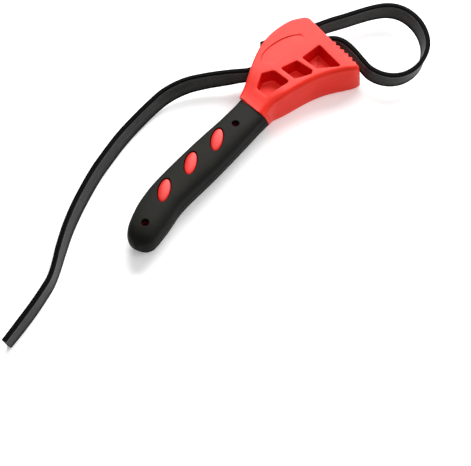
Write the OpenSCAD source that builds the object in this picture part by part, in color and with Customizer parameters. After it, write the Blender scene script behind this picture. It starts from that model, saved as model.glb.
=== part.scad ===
// Strap wrench: a red head and tang in one moulding, a black grip moulded over the tang,
// and a rubber strap that is pinned in the head, loops round the work and runs back through the head.
// Millimetres. Origin at the centre of the hang hole, at mid thickness. +X runs along the handle
// to the head, +Y is the side the free end of the strap leaves, +Z leaves the front face.

/* [Head] */
// Thickness of the head between its front and back faces
head_t = 27; // [24:0.5:30]
// Radius of the long edges of the head
head_edge_r = 2.5; // [1:0.25:4]
// Depth of the weight pockets in each face
pocket_depth = 11; // [6:0.5:12]
// Number of teeth on the working face
tooth_count = 6; // [6:1:12]
// Height of the teeth above the working face
tooth_h = 1.6; // [0.8:0.1:2.4]
// Depth of the groove round the blank oval
oval_groove = 0.5; // [0.2:0.1:1]

/* [Grip] */
// Half length of the oval windows
window_a = 10.8; // [8:0.1:12]
// Half width of the oval windows
window_b = 4.2; // [3:0.1:5]
// Tilt of the oval windows from the handle's length
window_tilt = 37; // [20:1:50]
// Diameter of the hang hole and of the upper hole
hole_d = 5.5; // [4:0.25:7]
// Width of the tang as a share of the grip's width
tang_share = 0.62; // [0.5:0.01:0.7]
// Thickness of the tang
tang_t = 12; // [8:0.5:16]

/* [Strap] */
// Width of the strap, upright when the wrench lies flat
strap_w = 12.5; // [10:0.5:16]
// Thickness of the strap
strap_t = 3.2; // [2.4:0.1:4]
// Room on each side of the strap in its passages
passage_gap = 0.4; // [0.3:0.05:0.6]
// Diameter of the dowel that holds the fixed end
dowel_d = 3; // [2:0.5:4]

/* [Hidden] */
// Name of the sub-part to draw, or all of them

red = [0.86, 0.09, 0.08];
charcoal = [0.13, 0.13, 0.12];
rubber = [0.06, 0.06, 0.06];
steel = [0.7, 0.71, 0.73];
eps = 0.05;
fine = 48;

// Thickness of the head where it meets the grip
neck_t = 23.6;

// Outline of the head's wall, seen from the front, anticlockwise from the lower side of the neck.
head_points = [
    [121, -1.5], [127, 1], [134, 2], [141, 1], [148, -0.5], [155, -2], [162, -3.8], [169, -6],
    [176, -9], [183, -13], [189, -17], [194.5, -20.5], [198.4, -21.5], [201.3, -18.6],
    [200.7, -12], [200.6, -5], [201.3, 2], [202.7, 9], [203.8, 16], [205, 22.5], [206.3, 29],
    [207.2, 34.6], [205.2, 38.6], [199.5, 41.7], [192.5, 43.7], [183.5, 45], [174.3, 44.9], [165, 43.3],
    [155, 39.8], [145, 35.3], [137, 31.3], [129, 27.4], [121, 25]
];

// Pockets in both faces, from the neck outward.
pocket_1 = [[134.4, 20.2], [145.6, 25.6], [152.8, 21.6], [153.7, 19.2], [153.5, 7.4], [151.7, 6.6], [133, 10.4]];
pocket_2 = [[158.8, 17.4], [171.2, 14.2], [171.8, 1.5], [169, 0.2], [158, 5.4]];
pocket_3 = [[176, 12.5], [192.5, 11.5], [187.5, -10.5], [174.5, -1]];

// Ends of the toothed stretch of the working face.
teeth_from = [202.3, 7.4];
teeth_to = [200.3, -17];

// Blank oval on both faces: centre, half length, half width and tilt.
oval_at = [172.5, 29];
oval_a = 19;
oval_b = 8.2;
oval_tilt = -10;

// Grip stations: x, y of the centre line, half width, half thickness.
grip_stations = [
    [-12.2, -4, 3.5, 4], [-10, -3.2, 7.6, 8.2], [-6, -1.7, 10.4, 11.4], [1, 1, 12, 13.1],
    [13, 4.8, 13, 13.4], [26, 7.8, 12.9, 13], [40, 9.3, 13.1, 12.4], [60, 10.1, 13.4, 12],
    [81, 10.9, 13.1, 11.6], [102, 11.9, 12.2, 11.2], [114, 12.4, 12, 10.8], [121.5, 12.8, 11.9, 10.5]
];
windows = [[27, 8.2], [55.5, 10.2], [82, 10.6]];
upper_hole = [102, 11];

// Centre line of the strap, from its pinned end round the loop to the mouth of the passage.
eye_at = [197, 36.2];
strap_end = [170.6, 47.9];
loop_points = [
    [200, 34.9], [206, 32.2], [213, 29], [222, 25], [231, 20.8], [241, 16.4], [250.5, 11.4],
    [258.7, 6.1], [264, -0.6], [266.8, -8], [266.8, -15.3], [264.3, -23.5], [259, -31.6],
    [252.3, -38.6], [244.6, -43.8], [236, -46.9], [226.8, -47.3], [218, -44.9], [211.4, -39.6],
    [207.9, -32], [207.1, -24], [208.4, -16], [210.7, -8], [212.1, -1.2], [212.4, 4.8],
    [210.7, 10.6], [206.4, 14.9], [199.2, 18]
];
mouth = [198.5, 18.2];
exit_at = [147.5, 38.2];
tail_start_gap = 0.7;
bend_at = [64, 71.2];
tail_1_points = [
    [146.9, 38.8], [141, 43.6], [135, 48.4], [123.2, 57.6], [110.6, 65.6], [96, 70.2], [81, 71.4], [64.8, 71.2]
];
tail_2_points = [
    [63.2, 71.2], [48, 70.1], [32, 67.7], [16, 63.9], [0, 58.8], [-15.4, 52.4], [-30.2, 44.6],
    [-45, 35.6], [-59.5, 27], [-74, 21.5], [-89.3, 17.9], [-104.4, 14.8], [-118, 11.6]
];
rest_z = 0.1 - head_t / 2 + strap_w / 2;

// A smooth curve through points, sub steps to a span; the ends are repeated on an open one.
function spline_at(a, b, c, d, s) =
    0.5 * (2 * b + (c - a) * s + (2 * a - 5 * b + 4 * c - d) * s * s + (3 * b - a - 3 * c + d) * s * s * s);
function open_spline(p, sub) = [
    for (i = [0 : len(p) - 2], k = [0 : sub - 1])
        spline_at(p[max(i - 1, 0)], p[i], p[i + 1], p[min(i + 2, len(p) - 1)], k / sub),
    p[len(p) - 1]
];

// The unit normal on the left of a path at point i, and the path shifted by d to that side.
function unit(v) = v / norm(v);
function left_of(p, i) =
    let (t = unit(p[min(i + 1, len(p) - 1)] - p[max(i - 1, 0)])) [-t[1], t[0]];
function shifted(p, d) = [for (i = [0 : len(p) - 1]) p[i] + d * left_of(p, i)];
function reversed(p) = [for (i = [len(p) - 1 : -1 : 0]) p[i]];
function ellipse_points(a, b, n) = [for (i = [0 : n - 1]) [a * cos(360 * i / n), b * sin(360 * i / n)]];

module ribbon(path, sub) {
    line = open_spline(path, sub);
    linear_extrude(height = strap_w, center = true)
        polygon(concat(shifted(line, strap_t / 2), reversed(shifted(line, -strap_t / 2))));
}

// A straight passage for the strap from one point to another, open at both ends.
module passage(from, to) {
    run = to - from;
    width = strap_t + 2 * passage_gap;
    height = strap_w + 2 * passage_gap;
    translate([from[0], from[1], -height / 2])
        rotate([0, 0, atan2(run[1], run[0])])
            translate([0, -width / 2, 0])
                cube([norm(run), width, height]);
}

head_line = open_spline(head_points, 3);

// Head outline drawn in by d; its two ends at the neck stay square to the handle.
module head_slab(d, z0, z1) {
    translate([0, 0, z0])
        linear_extrude(height = z1 - z0)
            polygon(shifted(head_line, d));
}

// Rounded long edges, made of thin slabs that follow a quarter circle.
edge_steps = 5;
function edge_in(k) = head_edge_r * (1 - cos(90 * k / edge_steps));
function edge_up(k) = head_edge_r * sin(90 * k / edge_steps);
module head_solid() {
    flat = head_t / 2 - head_edge_r;
    head_slab(0, -flat, flat);
    for (k = [1 : edge_steps]) {
        head_slab(edge_in(k - 0.5), flat + edge_up(k - 1) - eps, flat + edge_up(k));
        head_slab(edge_in(k - 0.5), -flat - edge_up(k), -flat - edge_up(k - 1) + eps);
    }
}

// Cut that narrows the thickness of the head toward one edge of the neck.
module neck_cut(out_y, in_y, in_z, far, side) {
    top = head_t / 2 + 1;
    corners = [[119, out_y, side * top], [119, in_y, side * top], [119, out_y, side * in_z], [far[0], far[1], side * top]];
    faces = side * (in_y - out_y) > 0
        ? [[0, 2, 1], [0, 1, 3], [0, 3, 2], [1, 2, 3]]
        : [[0, 1, 2], [0, 3, 1], [0, 2, 3], [1, 3, 2]];
    polyhedron(points = corners, faces = faces);
}

// Wedge off one face, so the head is thinner where it meets the grip.
module neck_wedge(side) {
    translate([0, 60, 0])
        rotate([90, 0, 0])
            linear_extrude(height = 120)
                polygon([[118, side * neck_t / 2], [144, side * head_t / 2], [144, side * head_t], [118, side * head_t]]);
}

// Saw teeth across the thickness of the working face.
module teeth() {
    run = teeth_to - teeth_from;
    pitch = norm(run) / tooth_count;
    translate([teeth_from[0], teeth_from[1], 0])
        rotate([0, 0, atan2(run[1], run[0])])
            for (i = [0 : tooth_count - 1])
                translate([i * pitch, 0, 0])
                    linear_extrude(height = head_t - 2 * head_edge_r, center = true)
                        polygon([[0, -2], [0, 0], [0.48 * pitch, tooth_h], [0.95 * pitch, 0], [0.95 * pitch, -2]]);
}

// Grip outline drawn in to a share of its width, from the butt to the neck.
grip_line = open_spline(grip_stations, 4);
tang_first = 9;
function centre_path() = [for (i = [tang_first : len(grip_line) - 1]) [grip_line[i][0], grip_line[i][1]]];
function side_path(side) =
    let (c = centre_path())
    [for (i = [0 : len(c) - 1]) c[i] + side * tang_share * grip_line[tang_first + i][2] * left_of(c, i)];
module tang_solid(z_half) {
    linear_extrude(height = 2 * z_half, center = true)
        polygon(concat(side_path(1), [[124, 20], [124, 4]], reversed(side_path(-1))));
}

module oval_column(at, grow, z_half) {
    translate([at[0], at[1], -z_half])
        rotate([0, 0, window_tilt])
            linear_extrude(height = 2 * z_half)
                polygon(ellipse_points(window_a + grow, window_b + grow, fine));
}

module hole(at, d) {
    translate([at[0], at[1], -20])
        cylinder(h = 40, d = d, $fn = fine);
}

module core() color(red) {
    difference() {
        union() {
            difference() {
                head_solid();
                for (side = [-1, 1]) {
                    neck_wedge(side);
                    neck_cut(-4, 9, 2, [158, -5], side);
                    neck_cut(29, 17, 4, [150, 41], side);
                }
            }
            teeth();
            tang_solid(tang_t / 2);
            for (w = windows)
                oval_column(w, -0.6, 12.2);
        }
        for (p = [pocket_1, pocket_2, pocket_3], side = [-1, 1])
            translate([0, 0, side * (head_t / 2 - pocket_depth / 2 + 1)])
                linear_extrude(height = pocket_depth + 2, center = true)
                    polygon(p);
        passage([162, 51.7], [215, 28.2]);
        passage([212, 12.9], [140, 41.1]);
        translate([eye_at[0], eye_at[1], -strap_w / 2 - passage_gap])
            cylinder(h = strap_w + 2 * passage_gap, d = dowel_d + 2 * strap_t + 2 * passage_gap, $fn = fine);
        for (side = [-1, 1])
            translate([oval_at[0], oval_at[1], side * head_t / 2 - oval_groove])
                rotate([0, 0, oval_tilt])
                    linear_extrude(height = 2 * oval_groove)
                        difference() {
                            polygon(ellipse_points(oval_a + 0.5, oval_b + 0.5, fine));
                            polygon(ellipse_points(oval_a - 0.5, oval_b - 0.5, fine));
                        }
        hole([0, 0], hole_d);
        hole(upper_hole, hole_d);
    }
}

// Section of the grip at a station: a rounded box as a superellipse.
ring_sides = 36;
section_power = 0.72;
function sgn_pow(v, p) = sign(v) * pow(abs(v), p);
function grip_ring(i) =
    let (
        c = [for (s = grip_line) [s[0], s[1]]],
        n = left_of(c, i),
        s = grip_line[i]
    )
    [for (k = [0 : ring_sides - 1])
        let (
            a = 360 * k / ring_sides,
            w = s[2] * sgn_pow(cos(a), section_power)
        )
        [s[0] + w * n[0], s[1] + w * n[1], s[3] * sgn_pow(sin(a), section_power)]
    ];
module grip_solid() {
    rings = len(grip_line);
    points = [for (i = [0 : rings - 1]) each grip_ring(i)];
    sides = [
        for (i = [0 : rings - 2], k = [0 : ring_sides - 1])
            let (
                a = i * ring_sides + k,
                b = i * ring_sides + (k + 1) % ring_sides
            )
            each [[a, b, b + ring_sides], [a, b + ring_sides, a + ring_sides]]
    ];
    last = (rings - 1) * ring_sides;
    caps = [
        [for (k = [ring_sides - 1 : -1 : 0]) k],
        [for (k = [0 : ring_sides - 1]) last + k]
    ];
    polyhedron(points = points, faces = concat(sides, caps), convexity = 4);
}

module grip() color(charcoal) {
    difference() {
        grip_solid();
        tang_solid(tang_t / 2);
        for (w = windows)
            oval_column(w, 0, 30);
        hole([0, 0], hole_d);
        hole(upper_hole, hole_d);
    }
}

module dowel() color(steel) {
    translate([eye_at[0], eye_at[1], -strap_w / 2])
        cylinder(h = strap_w, d = dowel_d, $fn = fine);
}

// The fixed end of the strap: moulded round the dowel, then straight out of the back edge.
module strap_eye() color(rubber) {
    difference() {
        union() {
            translate([eye_at[0], eye_at[1], -strap_w / 2])
                cylinder(h = strap_w, d = dowel_d + 2 * strap_t, $fn = fine);
            ribbon([eye_at, (eye_at + strap_end) / 2, strap_end], 1);
        }
        translate([eye_at[0], eye_at[1], -strap_w])
            cylinder(h = 2 * strap_w, d = dowel_d, $fn = fine);
    }
}

module strap_loop() color(rubber) {
    difference() {
        ribbon(loop_points, 4);
        translate([eye_at[0], eye_at[1], -strap_w])
            cylinder(h = 2 * strap_w, d = dowel_d + 2 * strap_t - 2 * eps, $fn = fine);
    }
}

// The stretch in the passage; it slides with the tail.
module strap_run() color(rubber) {
    ribbon([mouth, (mouth + exit_at) / 2, exit_at + tail_start_gap * unit(mouth - exit_at)], 1);
}

// The first stretch of the tail slopes down from the passage to the table.
slope = atan2(-rest_z, norm(bend_at - exit_at));
slope_turn = atan2(bend_at[1] - exit_at[1], bend_at[0] - exit_at[0]);
module strap_tail_1() color(rubber) {
    translate([exit_at[0], exit_at[1], 0])
        rotate([0, 0, slope_turn])
            rotate([0, slope, 0])
                rotate([0, 0, -slope_turn])
                    translate([-exit_at[0], -exit_at[1], 0])
                        ribbon(tail_1_points, 4);
}

module strap_tail_2() color(rubber) {
    translate([0, 0, rest_z])
        ribbon(tail_2_points, 4);
}

core();
grip();
dowel();
strap_eye();
strap_loop();
strap_run();
strap_tail_1();
strap_tail_2();
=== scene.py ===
"""Strap wrench: the visual model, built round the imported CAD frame.

Lengths are millimetres in the part's own frame, and become metres where a mesh is made.
"""
import math

import bmesh
import bpy
import numpy as np
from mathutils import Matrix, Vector
from mathutils.geometry import delaunay_2d_cdt


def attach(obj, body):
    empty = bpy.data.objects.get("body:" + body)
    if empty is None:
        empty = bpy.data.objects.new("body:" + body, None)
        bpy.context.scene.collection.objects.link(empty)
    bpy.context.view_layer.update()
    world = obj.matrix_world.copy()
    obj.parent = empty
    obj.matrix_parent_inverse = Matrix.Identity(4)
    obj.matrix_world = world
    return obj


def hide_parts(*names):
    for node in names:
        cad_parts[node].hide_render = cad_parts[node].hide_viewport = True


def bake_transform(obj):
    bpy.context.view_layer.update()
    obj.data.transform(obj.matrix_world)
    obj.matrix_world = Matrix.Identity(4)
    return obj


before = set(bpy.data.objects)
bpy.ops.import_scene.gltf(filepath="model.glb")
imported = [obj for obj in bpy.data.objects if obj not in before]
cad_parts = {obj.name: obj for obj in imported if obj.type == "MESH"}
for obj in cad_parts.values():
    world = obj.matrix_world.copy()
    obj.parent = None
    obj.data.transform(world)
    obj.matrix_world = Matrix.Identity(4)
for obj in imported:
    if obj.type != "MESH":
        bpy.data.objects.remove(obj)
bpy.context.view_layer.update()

MM = 0.001
SMOOTH_ANGLE = 35       # degrees between faces that still shade as one surface
THROUGH = 20            # half length of a cutter that goes through everything
CIRCLE_POINTS = 40

# The pairs that go to ease() say where a change starts and where it is complete, along x unless
# their comment says otherwise.

# ---------- sizes of the head ----------

# Half thickness of the head and of its neck, and where it thins from one to the other.
HEAD_HALF, NECK_HALF, NECK_THINS = 13.5, 11.1, (147, 121)
# Wall of the head seen from the front, from the lower side of the neck round to the upper side.
HEAD_POINTS = [
    (121.2, 1.6), (127, 2.3), (134, 2.6), (141, 1.1), (148, -0.5), (155, -2), (162, -3.8), (169, -6),
    (176, -9), (183, -13), (189, -17), (194.5, -20.5), (198.8, -21.6), (200.3, -18.6),
    (199, -12), (199.6, -5), (200.5, 2.5), (202.5, 9.4), (203.7, 16), (205, 22.5), (206.3, 29),
    (207.2, 34.6), (205.2, 38.6), (199.5, 41.7), (192.5, 43.7), (183.5, 45), (174.3, 44.9), (165, 43.3),
    (155, 39.8), (145, 35.3), (137, 31.3), (129, 27.6), (121.2, 24.8),
]
WALL_STEP = 1.15
# Radius of the head's long edges, what the neck adds to it, and the steps it is drawn in. The lower
# edge is the one under a line that rises slowly from (121, 12).
EDGE_LOWER, EDGE_UPPER, EDGE_JAW = 3.2, 1.3, 0.9
NECK_ADDS_LOWER, LOWER_GROWS = 2.4, (140, 121)
NECK_ADDS_UPPER, UPPER_GROWS = 0.5, (136, 122)
EDGE_STEPS, EDGE_BLUR = 6, 3
NECK_X, NECK_MIDDLE, MIDDLE_RISE = 121, 12, 0.05
UPPER_ENDS, JAW_STARTS, JAW_LOW, JAW_HIGH = 200, 199, -18, 36

# How far the front half of the jaw is set back at each y; and how far its low corner on the back is
# drawn out, which comes in along y.
JAW_Y, JAW_RELIEF = (-21.6, -18.8, -12, -5, 2, 9), (2.7, 2.5, 1.2, 0.8, 0.6, 0)
JAW_COMES_IN, CORNER_DRAWN_OUT, CORNER_Y = (188, 198), 1.2, (-8, -17)

# The joint of grip and head: its lean toward the head per millimetre behind LEAN_Z, its yaw per
# millimetre above YAW_FROM, and where they come in on the head and on the grip.
NECK_SLANT, LEAN_Z, NECK_YAW, YAW_FROM = 0.34, 10, 0.1, 4
HEAD_LEANS, GRIP_LEANS = (134, 122), (107, 119)

POCKETS = [
    [(134.4, 20.2), (145.6, 25.6), (152.8, 21.6), (153.7, 19.2), (153.5, 7.4), (151.7, 6.6), (133, 10.4)],
    [(158.2, 18.7), (171.2, 14.8), (171.9, 0.7), (169, -0.7), (157.8, 5)],
    [(175.6, 13.6), (192.8, 12.2), (188.3, -11.8), (174.9, -0.2)],
]
POCKET_DEPTH, POCKET_MIDDLE, POCKET_DRAFT, POCKET_STEP = 11.0, 5, 0.5, 1.4
POCKET_CORNER_R, POCKET_RIM_R, POCKET_FLOOR_R = 1.3, 0.45, 0.9
RIM_STEPS, FLOOR_STEPS = (0, 22, 45, 68, 90), (30, 60, 90)
# A face takes a pocket's colours, painted shade on the walls and painted light on the floor, this far
# outside its mouth and this far under the head's face, and counts as floor where its normal is steeper
# than this.
COLOUR_OUT, COLOUR_DOWN, FLOOR_NORMAL = 0.3, 1.0, 0.7

# Blank oval: centre, half length, half width, tilt; the depth of its low edge, where that edge is
# round it in degrees, the shares of the oval between which it sinks, and the width of its rim; and
# the lines of mesh that draw the rim.
OVAL_AT, OVAL_A, OVAL_B, OVAL_TILT = (172.5, 29), 19, 8.2, -10
OVAL_DEPTH, OVAL_LOW_EDGE, OVAL_SINKS, OVAL_RIM = 0.8, 115, (-0.75, 0.75), 0.45
OVAL_LINES, OVAL_POINTS = (0, -0.15, -0.3, -0.45, -1.2), 150
SHEET_GRID, SHEET_CLEAR = 2.2, 1.0  # spacing of the face's inner points, and their room from its lines

# Row of teeth and its depth in the head; one tooth, as shares of pitch and height; and the share of
# its height that a tooth has at each z above the middle, the same below it.
TEETH_FROM, TEETH_TO, TOOTH_COUNT, TOOTH_H, TEETH_ROOT = (201.6, 7.6), (198.5, -19), 6, 1.9, 2.2
TOOTH_SHAPE = [(0.0, 0.0), (0.06, 0.03), (0.44, 0.92), (0.49, 1.0), (0.55, 0.95), (0.94, 0.04)]
TEETH_LEVELS = [(4, 1.0), (12.3, 1.0), (13.0, 0.95), (13.4, 0.75)]

# ---------- sizes of the grip ----------

# Stations: x, y of the centre line, half width, half thickness.
GRIP_STATIONS = [
    (-12.8, -4.3, 0.8, 0.9), (-12.2, -4, 3.5, 4), (-10, -3.2, 7.6, 8.2), (-6, -1.7, 10.3, 11.2),
    (1, 1, 11.9, 13), (13, 4.6, 13, 13.4), (26, 7.6, 12.8, 13), (40, 9, 12.9, 12.4),
    (60, 9.8, 13.3, 12), (81, 10.6, 13.1, 11.6), (102, 11.4, 12.2, 11.2), (113, 12.2, 11.7, 10.6),
    (119.2, 12.8, 11.9, 10.4),
]
GRIP_STEPS = 9
# Rings past the last station that round the grip's end: how much smaller, how far on.
GRIP_END = [(0.25, 0.35), (0.7, 0.6), (1.6, 0.7)]
# Even angles round the section, and four more at each end of its width for the parting line; the
# line's height, the half width of its foot and the width of its flank.
EVEN_ANGLES, PARTING_ANGLES = 88, (-0.0078, -0.0022, 0.0022, 0.0078)
PARTING_H, PARTING_HALF_W, PARTING_FLANK = 0.2, 0.62, 0.36
# The parting line fades in between these half thicknesses of the grip.
PARTING_FADES_IN = (3, 9)
# The section's power at the butt, and how much squarer it gets along the body and by the neck.
BUTT_POWER, SQUARER_BODY, BODY_SQUARES, SQUARER_NECK, NECK_SQUARES = 0.74, 0.10, (5, 35), 0.12, (92, 116)
GRIP_BEVEL, TANG_BEVEL, EYE_BEVEL = 0.45, 0.4, 0.3

WINDOWS = [(27.6, 8.7), (56.4, 11.1), (83.3, 11.4)]
WINDOW_A, WINDOW_B, WINDOW_TILT, WINDOW_POINTS = 9.9, 4.1, 32.5, 72
WINDOW_GAP, WINDOW_DEPTH = 0.5, 5.0
# Bosses in the windows: share of the window's size, and height from the grip's surface.
BOSS_RIM = [(1.0, -1.3), (0.985, -0.95), (0.955, -0.72), (0.91, -0.6)]
BOSS_FIELD = [(share, -0.55) for share in (0.82, 0.7, 0.55, 0.4, 0.25, 0.1)]
BOSS_CROWN, BOSS_ROOT = 0.7, 5.2

HOLES = [(0, 0), (102, 11)]
HOLE_R = 2.75
# Sleeve: how far its wall reaches inside and outside the hole's radius, and stays under the surface.
SLEEVE_IN, SLEEVE_OUT, SLEEVE_SHORT = 0.25, 0.05, 3.6
# Tang: its share of the grip's width, half thickness, start in x, and how much smaller its holes are.
TANG_SHARE, TANG_HALF_T, TANG_STARTS, TANG_HOLE_IN = 0.62, 6, -4.5, 0.1
TANG_END = [(122, 20), (122, 4)]
# Collar: how much wider than the grip's last ring, and how far past it.
COLLAR_PROFILE = [
    (-0.7, 0.3), (0.1, 0.35), (0.3, 0.45), (0.35, 0.65), (0.3, 0.85), (0.1, 1.0), (-0.4, 1.1), (-0.45, 4),
]

# ---------- sizes of the strap ----------

EYE_AT, STRAP_END = (197, 36.2), (170.6, 47.9)
# Radius of the dowel's hole, and the dowel itself as (z, radius).
DOWEL_R, DOWEL_LEVELS = 1.5, [(-6.2, 1.15), (-5.9, 1.46), (5.9, 1.46), (6.2, 1.15)]
STRAP_HALF_W, STRAP_HALF_T, PASSAGE_GAP = 6.25, 1.6, 0.4
SLOT_FIXED, SLOT_FREE = [(162, 51.7), (215, 28.2)], [(212, 12.9), (140, 41.1)]
# Centre line: x, y, z of the middle of the strap's width, and how far its top edge leans to the
# right, in degrees.
LOOP_PATH = [
    (201.2, 34.25, 0, 0), (206, 32, 0, 0), (213, 28.6, 0, -2), (222, 24.5, 0, -5), (231, 19.8, 0, -5),
    (241, 15, 0, -5), (250.2, 10.1, 0, -6), (257.8, 4.7, 0, -8), (262.7, -1.6, 0, -11),
    (264.8, -8.4, 0, -13), (264.8, -15.5, 0, -15), (262.8, -23.5, 0, -16), (258.5, -31.7, 0, -16),
    (252.2, -38.9, 0, -16), (244.5, -44, 0, -14), (235.9, -47, 0, -10), (226.8, -47.6, 0, -8),
    (217.9, -45.2, 0, -5), (211.2, -39.9, 0, -1), (207.2, -32.5, 0, 3), (206.1, -24, 0, 5),
    (208, -16, 0, 4), (210.4, -8, 0, 3), (211.9, -1, 0, 2), (212.3, 5.4, 0, 1),
    (210.7, 11.2, 0, 0), (206.4, 15.5, 0, 0), (198.5, 18.2, 0, 0),
]
PASSAGE_PATH = [(186, 23.1, 0, 0), (173, 28.2, 0, 0), (160, 33.3, 0, 0), (147.5, 38.2, 0, 0)]
TAIL_PATH = [
    (141, 43.8, -0.6, 4), (135, 48.9, -1.1, 11), (123.5, 58.7, -2.3, 15), (110.9, 67.1, -3.4, 20),
    (96.2, 72, -4.6, 21), (81, 72.9, -5.7, 17), (64.7, 72.3, -6.7, 17), (48, 70.4, -7.1, 19),
    (32, 67.1, -7.1, 19), (16.2, 63.2, -7.1, 19), (0.3, 57.9, -7.1, 18.5), (-15.1, 51.9, -7.1, 18),
    (-30.3, 44.8, -7.1, 16), (-45.4, 36.2, -7.1, 14), (-53.2, 31.3, -7.1, 11), (-60.2, 27.1, -7.15, 8),
    (-67, 23.7, -7.15, 6), (-74.5, 21.2, -7.15, 6), (-89.2, 17.3, -7.15, 7),
    (-104.3, 14.1, -7.15, 7), (-118, 11.5, -7.15, 4),
]
STRAP_STEP = 1.6
# Where the strap is cut into pieces, on the way from its pinned end to its free end.
STRAP_CUTS = [(199, 18.1), (149.5, 37.3), (108, 66.9), (18, 64.4)]
# The free end's cut: how far its middle is carried on, and how much more per millimetre of width.
CUT_FURTHER, CUT_ASKEW = 1.5, 0.26
# Half of the strap's section as (thickness, width), with raised borders on its wide face; the other
# half is the same turned round.
PROFILE = [
    (1.30, -6.25), (1.52, -6.15), (1.60, -5.90), (1.60, -4.75), (1.38, -4.45), (1.38, -2.2),
    (1.38, 0), (1.38, 2.2), (1.38, 4.45), (1.60, 4.75), (1.60, 5.90), (1.52, 6.15), (1.30, 6.25),
    (0.45, 6.25), (-0.45, 6.25),
]
PROFILE += [(-u, -w) for u, w in PROFILE]
FACE_SPANS = set(range(3, 9)) | set(range(18, 24))  # spans of the section inside the borders


# ---------- lines and curves ----------

def spline(points, sub):
    """Points on a Catmull-Rom curve, sub steps to a span."""
    p = np.array(points, float)
    n = len(p)
    out = []
    for i in range(n - 1):
        a, b, c, d = p[max(i - 1, 0)], p[i], p[i + 1], p[min(i + 2, n - 1)]
        for k in range(sub):
            s = k / sub
            out.append(0.5 * (2 * b + (c - a) * s + (2 * a - 5 * b + 4 * c - d) * s * s
                              + (3 * b - a - 3 * c + d) * s ** 3))
    out.append(p[-1])
    return np.array(out)


def distances(p):
    """How far along the line each of its points is."""
    return np.r_[0, np.cumsum(np.linalg.norm(np.diff(p[:, :3], axis=0), axis=1))]


def resample(points, step):
    """The same line with evenly spaced points; extra columns are carried along."""
    p = np.array(points, float)
    d = distances(p)
    s = np.linspace(0, d[-1], max(2, int(round(d[-1] / step)) + 1))
    return np.stack([np.interp(s, d, p[:, k]) for k in range(p.shape[1])], 1)


def unit(rows):
    return rows / np.linalg.norm(rows, axis=1)[:, None]


def left_normals(p, closed=False):
    """Unit normals on the left of a plane line."""
    t = unit(np.roll(p, -1, 0) - np.roll(p, 1, 0) if closed else np.gradient(p, axis=0))
    return np.stack([-t[:, 1], t[:, 0]], 1)


def ease(x, start, end):
    """0 up to start, 1 from end on, and smooth between; end may be the lower of the two."""
    t = np.clip((x - start) / (end - start), 0, 1)
    return t * t * (3 - 2 * t)


def inside(points, polygon):
    """True for each point inside the polygon."""
    x, y = points[:, 0][:, None], points[:, 1][:, None]
    a = np.array(polygon, float)
    b = np.roll(a, -1, 0)
    crosses = (a[:, 1] > y) != (b[:, 1] > y)
    with np.errstate(divide="ignore", invalid="ignore"):
        at = a[:, 0] + (y - a[:, 1]) * (b[:, 0] - a[:, 0]) / (b[:, 1] - a[:, 1])
    return (np.sum(crosses & (x < at), axis=1) % 2) == 1


def fillet(corners, radius, steps=5):
    """A closed polygon with its corners rounded, each taking less than half of a side."""
    c = np.array(corners, float)
    out = []
    for i in range(len(c)):
        here, back, on = c[i], c[i - 1] - c[i], c[(i + 1) % len(c)] - c[i]
        back_length, on_length = np.linalg.norm(back), np.linalg.norm(on)
        u, v = back / back_length, on / on_length
        half = math.acos(np.clip(u @ v, -1, 1)) / 2
        reach = min(radius / math.tan(half), 0.45 * back_length, 0.45 * on_length)
        for k in range(steps + 1):
            s = k / steps
            out.append((1 - s) ** 2 * (here + u * reach) + 2 * s * (1 - s) * here
                       + s * s * (here + v * reach))
    return np.array(out)


def densify(loop, step):
    """A closed line with no edge longer than step."""
    out = []
    for i in range(len(loop)):
        a, b = loop[i], loop[(i + 1) % len(loop)]
        n = max(1, int(math.ceil(np.linalg.norm(b - a) / step)))
        out += [a + (b - a) * k / n for k in range(n)]
    return np.array(out)


def offset_loop(loop, d):
    """A closed anticlockwise line moved outward by d."""
    return loop - d * left_normals(loop, closed=True)


def ellipse(at, a, b, tilt, count):
    t = np.linspace(0, 2 * math.pi, count, endpoint=False)
    c, s = math.cos(math.radians(tilt)), math.sin(math.radians(tilt))
    x, y = a * np.cos(t), b * np.sin(t)
    return np.stack([at[0] + x * c - y * s, at[1] + x * s + y * c], 1)


def circle(at, radius, count=CIRCLE_POINTS):
    return ellipse(at, radius, radius, 0, count)


# ---------- meshes ----------

def add_object(name, mesh, materials=()):
    """A new object in the scene, with a slot for each material."""
    obj = bpy.data.objects.new(name, mesh)
    bpy.context.scene.collection.objects.link(obj)
    for m in materials:
        mesh.materials.append(m)
    return obj


def shade(obj, angle=SMOOTH_ANGLE):
    for p in obj.data.polygons:
        p.use_smooth = True
    obj.data.set_sharp_from_angle(angle=math.radians(angle))
    return obj


def make(name, verts, faces, materials=(), angle=SMOOTH_ANGLE, weld=True):
    """A mesh object from millimetre points, welded and with its normals facing out."""
    mesh = bpy.data.meshes.new(name)
    points = [tuple(float(c) * MM for c in v) for v in verts]
    mesh.from_pydata(points, [], [tuple(int(i) for i in f) for f in faces])
    mesh.validate()
    bm = bmesh.new()
    bm.from_mesh(mesh)
    if weld:
        bmesh.ops.remove_doubles(bm, verts=bm.verts, dist=0.004 * MM)
        bmesh.ops.dissolve_degenerate(bm, edges=bm.edges, dist=0.001 * MM)
    bmesh.ops.recalc_face_normals(bm, faces=bm.faces)
    bm.to_mesh(mesh)
    bm.free()
    return shade(add_object(name, mesh, materials), angle)


def tube_faces(rings, sides, first=0, closed=False):
    """Quads between neighbouring rings of points; closed joins the last ring to the first."""
    faces = []
    for k in range(rings if closed else rings - 1):
        a, b = first + k * sides, first + (k + 1) % rings * sides
        for i in range(sides):
            j = (i + 1) % sides
            faces.append((a + i, a + j, b + j, b + i))
    return faces


def capped_tube(rings, sides):
    """The faces of a tube of rings, with its first and last ring filled."""
    last = (rings - 1) * sides
    return tube_faces(rings, sides) + [tuple(range(sides)), tuple(range(last, last + sides))]


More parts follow.
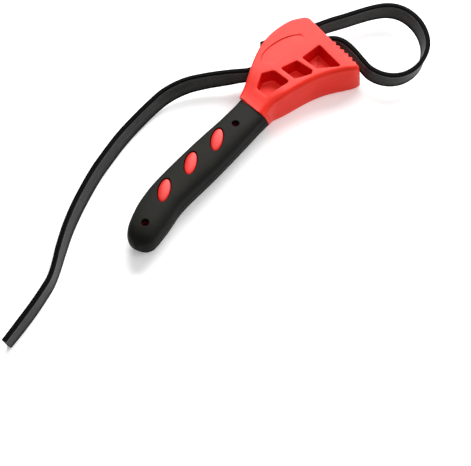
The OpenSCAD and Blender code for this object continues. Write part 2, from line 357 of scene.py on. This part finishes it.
def prism(name, loop, z0, z1, materials=()):
    """A closed plane line drawn out along Z."""
    n = len(loop)
    verts = [(x, y, z) for z in (z0, z1) for x, y in loop]
    faces = [tuple(range(n)), tuple(range(n, 2 * n))] + tube_faces(2, n)
    return make(name, verts, faces, materials, weld=False)


def box_along(name, ends, half_width, half_height):
    """A box along the line between two plane points, upright about z = 0."""
    a, b = np.array(ends, float)
    d = (b - a) / np.linalg.norm(b - a)
    n = np.array([-d[1], d[0]]) * half_width
    return prism(name, [a - n, b - n, b + n, a + n], -half_height, half_height)


def apply_modifiers(obj):
    """Puts the modified shape in the mesh and drops the modifiers."""
    dg = bpy.context.evaluated_depsgraph_get()
    mesh = bpy.data.meshes.new_from_object(obj.evaluated_get(dg))
    obj.modifiers.clear()
    old = obj.data
    obj.data = mesh
    bpy.data.meshes.remove(old)
    return shade(obj)


def cut(obj, cutters):
    """Takes each cutter out of obj and removes the cutter."""
    for c in cutters:
        m = obj.modifiers.new("cut", "BOOLEAN")
        m.operation, m.object, m.solver = "DIFFERENCE", c, "EXACT"
    apply_modifiers(obj)
    for c in cutters:
        mesh = c.data
        bpy.data.objects.remove(c)
        bpy.data.meshes.remove(mesh)


def bevel(obj, width, limit, segments=2):
    """Rounds the edges sharper than limit degrees."""
    m = obj.modifiers.new("bevel", "BEVEL")
    m.width, m.segments, m.limit_method = width * MM, segments, "ANGLE"
    m.angle_limit = math.radians(limit)
    m.use_clamp_overlap = True
    return apply_modifiers(obj)


# ---------- materials ----------

def new_material(name):
    """A new material with its node tree and its main shader."""
    m = bpy.data.materials.new(name)
    m.use_nodes = True
    return m, m.node_tree, m.node_tree.nodes["Principled BSDF"]


def grey(value):
    return (value,) * 3


def ramp(tree, source, stops):
    r = tree.nodes.new("ShaderNodeValToRGB")
    while len(r.color_ramp.elements) < len(stops):
        r.color_ramp.elements.new(0.5)
    for e, (pos, colour) in zip(r.color_ramp.elements, stops):
        e.position, e.color = pos, (*colour, 1)
    tree.links.new(source, r.inputs[0])
    return r.outputs[0]


def noise(tree, coords, scale, detail, rough):
    n = tree.nodes.new("ShaderNodeTexNoise")
    n.inputs["Scale"].default_value = scale
    n.inputs["Detail"].default_value = detail
    n.inputs["Roughness"].default_value = rough
    tree.links.new(coords, n.inputs["Vector"])
    return n.outputs["Fac"]


def stretched(tree, coords, scale):
    """Coordinates with their own scale along each axis."""
    m = tree.nodes.new("ShaderNodeMapping")
    m.inputs["Scale"].default_value = scale
    tree.links.new(coords, m.inputs["Vector"])
    return m.outputs[0]


def bump(tree, height, strength, distance, normal=None):
    b = tree.nodes.new("ShaderNodeBump")
    b.inputs["Strength"].default_value = strength
    b.inputs["Distance"].default_value = distance
    tree.links.new(height, b.inputs["Height"])
    if normal is not None:
        tree.links.new(normal, b.inputs["Normal"])
    return b.outputs["Normal"]


def mix(tree, share, a, b, kind="MIX"):
    m = tree.nodes.new("ShaderNodeMix")
    m.data_type, m.blend_type = "RGBA", kind
    m.inputs[0].default_value = share
    tree.links.new(a, m.inputs[6])
    tree.links.new(b, m.inputs[7])
    return m.outputs[2]


def fine_grain(tree, bsdf, at, scale, rough):
    """A fine grain round a middle roughness."""
    grain = noise(tree, at, scale, detail=2, rough=0.6)
    spread = [(0.2, grey(rough - 0.06)), (0.8, grey(rough + 0.08))]
    tree.links.new(ramp(tree, grain, spread), bsdf.inputs["Roughness"])
    return grain


def red_plastic(name, low, high, rough, gloss):
    """Moulded nylon: a faint flow pattern and a fine grain."""
    m, tree, bsdf = new_material(name)
    at = tree.nodes.new("ShaderNodeTexCoord").outputs["Object"]
    flow = noise(tree, at, 35, detail=3, rough=0.55)
    tree.links.new(ramp(tree, flow, [(0.3, low), (0.7, high)]), bsdf.inputs["Base Color"])
    grain = fine_grain(tree, bsdf, at, 2600, rough)
    n = bump(tree, grain, strength=0.18, distance=0.00012)
    n = bump(tree, flow, strength=0.12, distance=0.0006, normal=n)
    tree.links.new(n, bsdf.inputs["Normal"])
    bsdf.inputs["Specular IOR Level"].default_value = gloss
    return m


def soft_grip():
    """Soft-touch rubber: charcoal with a fine grain and faint patches, with painted shade that darkens it
    away from its two flat faces.
    """
    m, tree, bsdf = new_material("grip_rubber")
    coords = tree.nodes.new("ShaderNodeTexCoord")
    at = coords.outputs["Object"]
    patches = noise(tree, at, 48, detail=4, rough=0.6)
    colour = ramp(tree, patches, [(0.3, (0.0085, 0.0082, 0.0066)), (0.72, (0.0155, 0.0149, 0.0122))])
    split = tree.nodes.new("ShaderNodeSeparateXYZ")
    tree.links.new(coords.outputs["Normal"], split.inputs[0])
    facing = tree.nodes.new("ShaderNodeMath")
    facing.operation = "ABSOLUTE"
    tree.links.new(split.outputs["Z"], facing.inputs[0])
    # Painted shade: the colour is darkened away from the two flat faces, most on the shoulders between
    # them and the sides.
    painted_side_shade = ramp(tree, facing.outputs[0], [(0.1, grey(0.4)), (0.45, grey(0.15)), (0.9, grey(1))])
    tree.links.new(mix(tree, 1.0, colour, painted_side_shade, "MULTIPLY"), bsdf.inputs["Base Color"])
    bsdf.inputs["Specular IOR Level"].default_value = 0.1
    rough = ramp(tree, patches, [(0.3, grey(0.62)), (0.75, grey(0.74))])
    tree.links.new(rough, bsdf.inputs["Roughness"])
    grain = noise(tree, at, 1500, detail=3, rough=0.65)
    tree.links.new(bump(tree, grain, strength=0.35, distance=0.0003), bsdf.inputs["Normal"])
    return m


def strap_rubber(name, low, high, rough, hatch, gloss):
    """Strap rubber: dust and pale flecks, and a fine slanted hatch where hatch isn't 0."""
    m, tree, bsdf = new_material(name)
    coords = tree.nodes.new("ShaderNodeTexCoord")
    at, uv = coords.outputs["Object"], coords.outputs["UV"]
    dust = noise(tree, at, 70, detail=4, rough=0.65)
    streak = noise(tree, stretched(tree, uv, (25, 900, 1)), 1, detail=2, rough=0.5)
    flecks = noise(tree, at, 900, detail=2, rough=0.7)
    both = mix(tree, 0.4, mix(tree, 0.5, dust, streak), flecks)
    tree.links.new(ramp(tree, both, [(0.37, low), (0.63, high)]), bsdf.inputs["Base Color"])
    grain = fine_grain(tree, bsdf, at, 2200, rough)
    n = bump(tree, grain, strength=0.2, distance=0.00015)
    if hatch:
        wave = tree.nodes.new("ShaderNodeTexWave")
        wave.bands_direction = "DIAGONAL"
        wave.inputs["Scale"].default_value = 260
        wave.inputs["Distortion"].default_value = 1.5
        wave.inputs["Detail"].default_value = 1.0
        tree.links.new(uv, wave.inputs["Vector"])
        n = bump(tree, wave.outputs["Fac"], strength=hatch, distance=0.0002, normal=n)
    tree.links.new(n, bsdf.inputs["Normal"])
    bsdf.inputs["Specular IOR Level"].default_value = gloss
    return m


def steel():
    """Ground steel: fine lines round the pin."""
    m, tree, bsdf = new_material("pin_steel")
    at = tree.nodes.new("ShaderNodeTexCoord").outputs["Object"]
    lines = noise(tree, stretched(tree, at, (300, 300, 6000)), 1, detail=2, rough=0.5)
    colour = ramp(tree, lines, [(0.3, (0.42, 0.43, 0.45)), (0.7, (0.62, 0.63, 0.65))])
    tree.links.new(colour, bsdf.inputs["Base Color"])
    tree.links.new(ramp(tree, lines, [(0.3, grey(0.25)), (0.7, grey(0.4))]), bsdf.inputs["Roughness"])
    bsdf.inputs["Metallic"].default_value = 1.0
    return m


# Low and high colour, roughness and gloss; the strap's hatch comes before its gloss.
RED = red_plastic("red_nylon", (0.60, 0.010, 0.002), (0.67, 0.019, 0.006), 0.36, 0.18)
# Painted shade: a darker copy of the red nylon, for the pocket walls and the tang, which lie in shade.
RED_PAINTED_SHADE = red_plastic("red_nylon_painted_shade", (0.55, 0.003, 0.003), (0.62, 0.006, 0.005), 0.5, 0.2)
# Painted light: a paler copy of the red nylon for the pocket floors, as if lit.
RED_PAINTED_LIGHT = red_plastic("red_nylon_painted_light", (0.88, 0.030, 0.020), (0.94, 0.045, 0.030), 0.4, 0.2)
# Painted shade: a much darker copy of the red nylon for the walls of the holes, which lie in shade.
RED_BORE_PAINTED_SHADE = red_plastic("red_nylon_bore_painted_shade", (0.16, 0.004, 0.004), (0.20, 0.006, 0.006), 0.55, 0.1)
RED_OVAL = red_plastic("red_nylon_oval", (0.54, 0.011, 0.007), (0.64, 0.020, 0.014), 0.36, 0.24)
GRIP = soft_grip()
STRAP_FACE = strap_rubber("strap_face", grey(0.009), (0.035, 0.035, 0.033), 0.45, 0.3, 0.16)
STRAP_EDGE = strap_rubber("strap_edge", grey(0.0012), grey(0.004), 0.6, 0, 0.02)
STEEL = steel()


# ---------- camera, floor and light; places are in metres here ----------

CAMERA_TURN, CAMERA_HEIGHT, CAMERA_FAR = math.radians(-48), math.radians(57), 1.1
CAMERA_TARGET = (0.040, -0.0448, 0.0)
FLOOR_HALF, FLOOR_Z = 6.0, -HEAD_HALF * MM - 0.00002


def look_at(obj, place, target):
    obj.location = place
    obj.rotation_euler = (Vector(target) - Vector(place)).to_track_quat("-Z", "Y").to_euler()


def add_camera():
    data = bpy.data.cameras.new("camera")
    data.sensor_width, data.lens = 36.0, 125.3
    data.clip_start, data.clip_end = 0.02, 50
    cam = bpy.data.objects.new("camera", data)
    bpy.context.scene.collection.objects.link(cam)
    back = Vector((math.sin(CAMERA_TURN) * math.cos(CAMERA_HEIGHT),
                   -math.cos(CAMERA_TURN) * math.cos(CAMERA_HEIGHT), math.sin(CAMERA_HEIGHT)))
    target = Vector(CAMERA_TARGET)
    look_at(cam, target + back * CAMERA_FAR, target)
    bpy.context.scene.camera = cam


def add_floor():
    """A white floor that glows a little, like a light table."""
    m, tree, bsdf = new_material("floor_white")
    at = tree.nodes.new("ShaderNodeTexCoord").outputs["Object"]
    fine = noise(tree, at, 12, detail=2, rough=0.5)
    tree.links.new(ramp(tree, fine, [(0.3, grey(0.93)), (0.7, grey(0.95))]), bsdf.inputs["Base Color"])
    bsdf.inputs["Roughness"].default_value = 0.9
    bsdf.inputs["Specular IOR Level"].default_value = 0.1
    bsdf.inputs["Emission Color"].default_value = (1, 1, 1, 1)
    bsdf.inputs["Emission Strength"].default_value = 0.22
    mesh = bpy.data.meshes.new("floor")
    h, z = FLOOR_HALF, FLOOR_Z
    mesh.from_pydata([(-h, -h, z), (h, -h, z), (h, h, z), (-h, h, z)], [], [(0, 1, 2, 3)])
    add_object("floor", mesh, [m])


def add_world():
    world = bpy.data.worlds.new("studio")
    world.use_nodes = True
    world.node_tree.nodes["Background"].inputs["Color"].default_value = (1, 1, 1, 1)
    world.node_tree.nodes["Background"].inputs["Strength"].default_value = 0.38
    bpy.context.scene.world = world


def add_light(name, place, size, power):
    data = bpy.data.lights.new(name, "AREA")
    data.shape, data.size, data.energy = "DISK", size, power
    lamp = bpy.data.objects.new(name, data)
    bpy.context.scene.collection.objects.link(lamp)
    look_at(lamp, place, (0.1, 0.0, 0.0))


add_camera()
add_floor()
add_world()
add_light("key", (1.2, 0.58, 1.0), 1.6, 52)
add_light("fill", (1.1, -1.0, 0.5), 0.9, 6)
add_light("front", (0.1, -0.75, 1.25), 0.6, 3)
bpy.context.scene.view_settings.view_transform = "Standard"


# ---------- head ----------

def edge_radius(p):
    """Radius of the head's long edge at each wall point: soft along the lower side, crisp by the teeth."""
    x, y = p[:, 0], p[:, 1]
    lower = y < NECK_MIDDLE + (x - NECK_X) * MIDDLE_RISE
    upper = ~lower & (x < UPPER_ENDS)
    jaw = (x > JAW_STARTS) & (y > JAW_LOW) & (y < JAW_HIGH)
    r = np.where(upper, EDGE_UPPER, EDGE_LOWER)
    r = np.where(lower, r + NECK_ADDS_LOWER * ease(x, *LOWER_GROWS), r)
    r = np.where(upper, r + NECK_ADDS_UPPER * ease(x, *UPPER_GROWS), r)
    r = np.where(jaw, EDGE_JAW, r)
    window = 2 * EDGE_BLUR + 1
    return np.convolve(np.pad(r, EDGE_BLUR, mode="edge"), np.ones(window) / window, mode="valid")


def taper(v):
    """Thins the head toward the neck, shapes the front of the jaw, and leans the neck's end."""
    v = np.array(v, float)
    v[:, 2] *= 1 - (1 - NECK_HALF / HEAD_HALF) * ease(v[:, 0], *NECK_THINS)
    height = v[:, 2] / HEAD_HALF
    front = ease(v[:, 0], *JAW_COMES_IN)
    v[:, 0] -= np.interp(v[:, 1], JAW_Y, JAW_RELIEF) * np.clip(height, 0, 1) * front
    v[:, 0] += CORNER_DRAWN_OUT * np.clip(-height, 0, 1) * front * ease(v[:, 1], *CORNER_Y)
    v[:, 0] += NECK_SLANT * (LEAN_Z - v[:, 2]) * ease(v[:, 0], *HEAD_LEANS)
    return v


def face_height(p):
    """Height of the front face at each plane point before the taper: the blank oval sinks to one edge."""
    z = np.full(len(p), HEAD_HALF)
    c, s = math.cos(math.radians(OVAL_TILT)), math.sin(math.radians(OVAL_TILT))
    dx, dy = p[:, 0] - OVAL_AT[0], p[:, 1] - OVAL_AT[1]
    u, v = (dx * c + dy * s), (-dx * s + dy * c)
    r = np.sqrt((u / OVAL_A) ** 2 + (v / OVAL_B) ** 2) + 1e-9
    past_edge = (r - 1) * np.sqrt(u * u + v * v) / r
    toward_low = r * np.cos(np.arctan2(v / OVAL_B, u / OVAL_A) - math.radians(OVAL_LOW_EDGE))
    z -= OVAL_DEPTH * ease(toward_low, *OVAL_SINKS) * ease(past_edge, 0, -OVAL_RIM)
    return z


def pocket_wall(corners):
    """The mouth of a pocket as a dense anticlockwise line with rounded corners."""
    loop = fillet(corners, POCKET_CORNER_R)
    ahead = np.roll(loop, -1, 0)
    area = np.sum(loop[:, 0] * ahead[:, 1] - ahead[:, 0] * loop[:, 1])
    return densify(loop if area > 0 else loop[::-1], POCKET_STEP)


def pocket_profile():
    """A pocket's wall as (outward, up) pairs: a rounded rim, a drafted wall and a filleted floor."""
    rim = [math.radians(a) for a in RIM_STEPS]
    floor = [math.radians(a) for a in FLOOR_STEPS]
    profile = [(POCKET_RIM_R - POCKET_RIM_R * math.sin(a), -POCKET_RIM_R * (1 - math.cos(a))) for a in rim]
    profile += [(-POCKET_DRAFT / 2, -POCKET_MIDDLE), (-POCKET_DRAFT, -POCKET_DEPTH + POCKET_FLOOR_R)]
    profile += [(-POCKET_DRAFT - POCKET_FLOOR_R * (1 - math.cos(a)),
                 -POCKET_DEPTH + POCKET_FLOOR_R * (1 - math.sin(a))) for a in floor]
    return profile


def wall_rings():
    """The head's wall as open rings of points, from its middle up round the long edge to the face."""
    wall = spline(HEAD_POINTS, 7)
    wall = resample(np.c_[wall, np.zeros(len(wall))], WALL_STEP)[:, :2]
    n, radius = left_normals(wall), edge_radius(wall)
    rings = []
    for k in range(EDGE_STEPS + 1):
        a = math.pi / 2 * k / EDGE_STEPS
        p = wall + n * (radius * (1 - math.cos(a)))[:, None]
        rings.append(np.c_[p, HEAD_HALF - radius + radius * math.sin(a)])
    return rings


def face_sheet(border):
    """The face in triangles: the pockets are left open, and lines of mesh follow the blank oval."""
    rims = [offset_loop(pocket_wall(p), POCKET_RIM_R) for p in POCKETS]
    ovals = [ellipse(OVAL_AT, OVAL_A + d, OVAL_B + d, OVAL_TILT, OVAL_POINTS) for d in OVAL_LINES]
    points, edges = [], []
    for loop in [border] + rims + ovals:
        first = len(points)
        points += [tuple(q) for q in loop]
        edges += [(first + i, first + (i + 1) % len(loop)) for i in range(len(loop))]

    def on_face(p):
        ok = inside(p, border)
        for rim in rims:
            ok &= ~inside(p, rim)
        return ok

    fixed = np.array(points)
    across, up = np.arange(122, 209, SHEET_GRID), np.arange(-22, 46, SHEET_GRID)
    grid = np.array([(x, y) for x in across for y in up])
    near = np.min(np.linalg.norm(grid[:, None] - fixed[None], axis=2), axis=1) < SHEET_CLEAR
    points += [tuple(q) for q in grid[on_face(grid) & ~near]]
    sheet = delaunay_2d_cdt([Vector(q) for q in points], edges, [], 0, 1e-5)
    flat = np.array([tuple(v) for v in sheet[0]])
    tris = np.array([tuple(f) for f in sheet[2]])
    return flat, tris[on_face(flat[tris].mean(axis=1))]


def head():
    rings = wall_rings()
    levels = rings[::-1]
    levels += [rings[0] * (1, 1, f) for f in (0.33, -0.33)]
    levels += [r * (1, 1, -1) for r in rings]
    count = len(rings[0])
    verts = [tuple(v) for level in levels for v in level]
    starts = [k * count for k in range(len(levels))]
    faces = [(a, a + 1, a + 1 + count, a + count) for s in starts[:-1] for a in range(s, s + count - 1)]
    faces.append(tuple(starts + [s + count - 1 for s in starts[::-1]]))

    flat, tris = face_sheet(rings[-1][:, :2])
    height = face_height(flat)
    for side in (1, -1):
        first = len(verts)
        verts += [(x, y, side * z) for (x, y), z in zip(flat, height)]
        faces += [tuple(first + i for i in (t if side > 0 else t[::-1])) for t in tris]

    profile = pocket_profile()
    for mouth in [pocket_wall(corners) for corners in POCKETS]:
        for side in (1, -1):
            first = len(verts)
            for out, up in profile:
                verts += [(x, y, side * (HEAD_HALF + up)) for x, y in offset_loop(mouth, out)]
            faces += tube_faces(len(profile), len(mouth), first)
            faces.append(tuple(range(len(verts) - len(mouth), len(verts))))
    obj = make("head", taper(verts), faces, [RED, RED_PAINTED_SHADE, RED_PAINTED_LIGHT])

    room_t, room_w = STRAP_HALF_T + PASSAGE_GAP, STRAP_HALF_W + PASSAGE_GAP
    eye_r = DOWEL_R + (2 * STRAP_HALF_T + PASSAGE_GAP)
    cut(obj, [
        box_along("slot_fixed", SLOT_FIXED, room_t, room_w),
        box_along("slot_free", SLOT_FREE, room_t, room_w),
        prism("slot_eye", circle(EYE_AT, eye_r, 48), -room_w, room_w),
    ])
    colour_pockets(obj)
    return obj


def colour_pockets(obj):
    """Painted shade, a darker red, goes on the walls of the pockets, and painted light, a paler red, on
    their floors.
    """
    centres = np.array([tuple(p.center) for p in obj.data.polygons]) / MM
    deep = np.zeros(len(centres), bool)
    for corners in POCKETS:
        deep |= inside(centres, offset_loop(pocket_wall(corners), COLOUR_OUT))
    deep &= np.abs(centres[:, 2]) < HEAD_HALF - COLOUR_DOWN
    for p, is_deep in zip(obj.data.polygons, deep):
        p.material_index = 0
        if is_deep:
            p.material_index = 1 if abs(p.normal.z) < FLOOR_NORMAL else 2


def teeth():
    """Saw teeth across the working face, as one toothed strip let into it."""
    a, b = np.array(TEETH_FROM, float), np.array(TEETH_TO, float)
    d = (b - a) / np.linalg.norm(b - a)
    out = np.array([-d[1], d[0]])
    pitch = np.linalg.norm(b - a) / TOOTH_COUNT
    end = TOOTH_COUNT * pitch
    line = [((i + f) * pitch, h * TOOTH_H) for i in range(TOOTH_COUNT) for f, h in TOOTH_SHAPE]
    line = [(0, -TEETH_ROOT)] + line + [(end, 0), (end, -TEETH_ROOT)]
    levels = [(-z, share) for z, share in TEETH_LEVELS[::-1]] + [(0, 1.0)] + TEETH_LEVELS
    verts = []
    for z, share in levels:
        for s, h in line:
            x, y = a + d * s + out * (h * share if h > 0 else h)
            verts.append((x, y, z))
    return make("teeth", taper(verts), capped_tube(len(levels), len(line)), [RED], 28)


# ---------- grip ----------

def slant(points):
    """Leans the end of the grip toward the head on the back, and turns it a little."""
    p = np.array(points, float)
    lean = NECK_SLANT * (LEAN_Z - p[:, 2]) + NECK_YAW * np.clip(p[:, 1] - YAW_FROM, 0, None)
    p[:, 0] += lean * ease(p[:, 0], *GRIP_LEANS)
    return p


def grip_line(sub):
    """The grip's stations on a smooth line, and the plane normals on its left."""
    line = spline(GRIP_STATIONS, sub)
    return line, left_normals(line[:, :2])


def section_power(x):
    """Squareness of the grip's section: rounder at the butt, nearly a flat box by the neck."""
    return BUTT_POWER - SQUARER_BODY * ease(x, *BODY_SQUARES) - SQUARER_NECK * ease(x, *NECK_SQUARES)


def ring_angles():
    even = np.linspace(0, 2 * math.pi, EVEN_ANGLES, endpoint=False)
    near = np.array(PARTING_ANGLES)
    return np.sort(np.mod(np.r_[even, near, math.pi + near], 2 * math.pi))


RING = ring_angles()


def grip_ring(station, normal, grow=0.0):
    """The grip's section at a station of its line, with the parting line's ridge at mid height."""
    x, y, half_w, half_t = station
    p = section_power(x)
    c, s = np.cos(RING), np.sin(RING)
    w = (half_w + grow) * np.sign(c) * np.abs(c) ** p
    h = (half_t + grow) * np.sign(s) * np.abs(s) ** p
    ridge = PARTING_H * np.clip((PARTING_HALF_W - np.abs(h)) / PARTING_FLANK, 0, 1)
    low, high = PARTING_FADES_IN
    w += np.sign(w) * (ridge * min(1, max(0, half_t - low) / (high - low)))
    return np.c_[x + w * normal[0], y + w * normal[1], h]


def grip_top(points):
    """Height of the grip's front surface at plane points."""
    line, n = grip_line(12)
    out = []
    for q in np.atleast_2d(points):
        k = np.argmin(np.hypot(line[:, 0] - q[0], line[:, 1] - q[1]))
        w = abs((q - line[k][:2]) @ n[k]) / line[k][2]
        p = section_power(line[k][0])
        out.append(line[k][3] * max(0.0, 1 - w ** (2 / p)) ** (p / 2))
    return np.array(out)


def hole_cutters(radius):
    return [prism(f"hole_{k}", circle(at, radius), -THROUGH, THROUGH) for k, at in enumerate(HOLES)]


def grip():
    line, n = grip_line(GRIP_STEPS)
    rings = [grip_ring(line[i], n[i]) for i in range(len(line))]
    for shrink, dx in GRIP_END:
        rings.append(grip_ring(line[-1], n[-1], -shrink) + (dx, 0, 0))
    verts = [tuple(v) for r in rings for v in r]
    obj = make("grip", slant(verts), capped_tube(len(rings), len(RING)), [GRIP])
    cutters = []
    for k, at in enumerate(WINDOWS):
        floor = grip_top(at)[0] - WINDOW_DEPTH
        loop = ellipse(at, WINDOW_A + WINDOW_GAP, WINDOW_B + WINDOW_GAP, WINDOW_TILT, WINDOW_POINTS)
        for side in (1, -1):
            cutters.append(prism(f"window_{k}_{side}", loop, side * floor, side * THROUGH))
    cut(obj, cutters + hole_cutters(HOLE_R))
    return bevel(obj, GRIP_BEVEL, 42, 3)


def oval(name, at, side):
    """A domed boss of the core that shows in a window of the grip."""
    def window(share):
        return ellipse(at, WINDOW_A * share, WINDOW_B * share, WINDOW_TILT, WINDOW_POINTS)

    levels = [(window(1.0), np.full(WINDOW_POINTS, grip_top(at)[0] - BOSS_ROOT))]
    for share, up in BOSS_RIM + BOSS_FIELD:
        loop = window(share)
        levels.append((loop, grip_top(loop) + up + BOSS_CROWN * (1 - share ** 2)))
    verts = [(x, y, side * z) for loop, heights in levels for (x, y), z in zip(loop, heights)]
    return make(name, verts, capped_tube(len(levels), WINDOW_POINTS), [RED_OVAL], 50)


def tang():
    """The tongue of the core inside the grip, seen only through the two holes."""
    line = grip_line(4)[0]
    line = line[line[:, 0] > TANG_STARTS]
    half = left_normals(line[:, :2]) * line[:, 2:3] * TANG_SHARE
    loop = np.r_[line[:, :2] + half, TANG_END, (line[:, :2] - half)[::-1]]
    # The tang takes the red with painted shade, as it lies in shade inside the grip.
    obj = prism("tang", loop, -TANG_HALF_T, TANG_HALF_T, [RED_PAINTED_SHADE])
    cut(obj, hole_cutters(HOLE_R - TANG_HOLE_IN))
    return bevel(obj, TANG_BEVEL, 50)


def sleeve(name, at):
    """The wall of a hole in a dark red of painted shade: the core reaches up round it, well short of the
    grip's faces.
    """
    top = grip_top(at)[0] - SLEEVE_SHORT
    inner, outer = HOLE_R - SLEEVE_IN, HOLE_R + SLEEVE_OUT
    rings = [(inner, -top), (outer, -top), (outer, top), (inner, top)]
    verts = [(x, y, z) for r, z in rings for x, y in circle(at, r)]
    return make(name, verts, tube_faces(len(rings), CIRCLE_POINTS, closed=True), [RED_BORE_PAINTED_SHADE], 40)


def collar():
    """The red lip at the end of the grip, and the groove between it and the head."""
    line, n = grip_line(GRIP_STEPS)
    rings = [grip_ring(line[-1], n[-1], grow) + (dx, 0, 0) for grow, dx in COLLAR_PROFILE]
    verts = [tuple(v) for r in rings for v in r]
    return make("collar", slant(verts), capped_tube(len(rings), len(RING)), [RED])


# ---------- strap ----------

def strap_line():
    """The whole centre line: places, thickness directions, width directions, distances along it."""
    path = resample(spline(LOOP_PATH + PASSAGE_PATH + TAIL_PATH, 10), STRAP_STEP)
    t = unit(np.gradient(path[:, :3], axis=0))
    flat = unit(t * (1, 1, 0))
    right = np.stack([flat[:, 1], -flat[:, 0], np.zeros(len(t))], 1)
    lean = np.radians(path[:, 3])[:, None]
    width = np.array([0, 0, 1.0]) * np.cos(lean) + right * np.sin(lean)
    width = unit(width - t * np.sum(width * t, axis=1)[:, None])
    return path[:, :3], np.cross(width, t), width, distances(path)


STRAP = strap_line()


def strap_at(x, y):
    """Index of the point of the strap's line nearest to a plane point."""
    return int(np.argmin(np.hypot(STRAP[0][:, 0] - x, STRAP[0][:, 1] - y)))


def strap_piece(name, first, last, cut_end=False):
    """The strap's section swept between two indices of its line; the free end is cut a little askew."""
    middle, thick, width, along = STRAP
    m, verts = len(PROFILE), []
    for i in range(first, last + 1):
        for u, w in PROFILE:
            verts.append(middle[i] + thick[i] * u + width[i] * w)
            if cut_end and i == last:
                verts[-1] += np.cross(thick[i], width[i]) * (CUT_FURTHER + CUT_ASKEW * w)
    faces = capped_tube(last - first + 1, m)
    obj = make(name, verts, faces, [STRAP_FACE, STRAP_EDGE], 40, weld=False)
    mesh = obj.data
    uv = mesh.uv_layers.new(name="along").data
    girth = np.r_[0, np.cumsum([math.dist(PROFILE[i], PROFILE[(i + 1) % m]) for i in range(m)])]
    for p in mesh.polygons:
        ids = [mesh.loops[l].vertex_index for l in p.loop_indices]
        prof = [v % m for v in ids]
        wraps = len(ids) == 4 and {0, m - 1} <= set(prof)
        span = m - 1 if wraps else min(prof)
        p.material_index = 0 if span in FACE_SPANS else 1
        for l, v, q in zip(p.loop_indices, ids, prof):
            g = girth[m] if wraps and q == 0 else girth[q]
            uv[l].uv = (along[first + v // m] * MM, g * MM)
    return obj


def strap_eye():
    """The strap's fixed end, moulded round the dowel and on out of the back edge."""
    centre, end = np.array(EYE_AT, float), np.array(STRAP_END, float)
    along = (end - centre) / np.linalg.norm(end - centre)
    start = math.atan2(along[1], along[0])
    r = DOWEL_R + 2 * STRAP_HALF_T
    half = math.asin(STRAP_HALF_T / r)
    loop = [centre + r * np.array([math.cos(a), math.sin(a)])
            for a in np.linspace(start + half, start + 2 * math.pi - half, 49)]
    side = np.array([-along[1], along[0]]) * STRAP_HALF_T
    loop += [end + side * s + along * d for s, d in ((-1, 0), (-0.8, 0.25), (0.8, 0.25), (1, 0))]
    obj = prism("strap_fixed_end", loop, -STRAP_HALF_W, STRAP_HALF_W, [STRAP_EDGE])
    cut(obj, [prism("pin_hole", circle(EYE_AT, DOWEL_R), -THROUGH, THROUGH)])
    return bevel(obj, EYE_BEVEL, 50)


def dowel():
    """The steel pin, with chamfered ends."""
    verts = [(x, y, z) for z, r in DOWEL_LEVELS for x, y in circle(EYE_AT, r)]
    return make("pin", verts, capped_tube(len(DOWEL_LEVELS), CIRCLE_POINTS), [STEEL], 30)


# ---------- assembly ----------

def place(obj, body, slot, *nodes):
    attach(obj, body)
    if nodes:
        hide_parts(*nodes)


def join(obj, node):
    """Bakes a piece of the strap's transform into its mesh and hides the CAD node it stands for."""
    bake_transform(obj)
    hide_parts(node)


place(head(), "wrench", "core", "core")
place(teeth(), "wrench", "core")
place(collar(), "wrench", "core")
place(tang(), "wrench", "core")
place(grip(), "wrench", "grip", "grip")
for k, at in enumerate(HOLES):
    place(sleeve(f"hole_sleeve_{k + 1}", at), "wrench", "core")
for k, at in enumerate(WINDOWS):
    for side, word in ((1, "front"), (-1, "back")):
        place(oval(f"oval_{word}_{k + 1}", at, side), "wrench", "core")
place(dowel(), "wrench", "dowel", "dowel")
place(strap_eye(), "wrench", "strap", "strap_eye")

cuts = [0] + [strap_at(x, y) for x, y in STRAP_CUTS] + [len(STRAP[0]) - 1]
place(strap_piece("strap_loop_piece", cuts[0], cuts[1]), "wrench", "strap", "strap_loop")
join(strap_piece("strap_passage", cuts[1], cuts[2]),
     "strap_run")
join(strap_piece("strap_exit", cuts[2], cuts[3]),
     "strap_tail_1")
join(strap_piece("strap_bend", cuts[3], cuts[4]),
     "strap_tail_2")
place(strap_piece("strap_end", cuts[4], cuts[5], True), "tail_end", "strap")
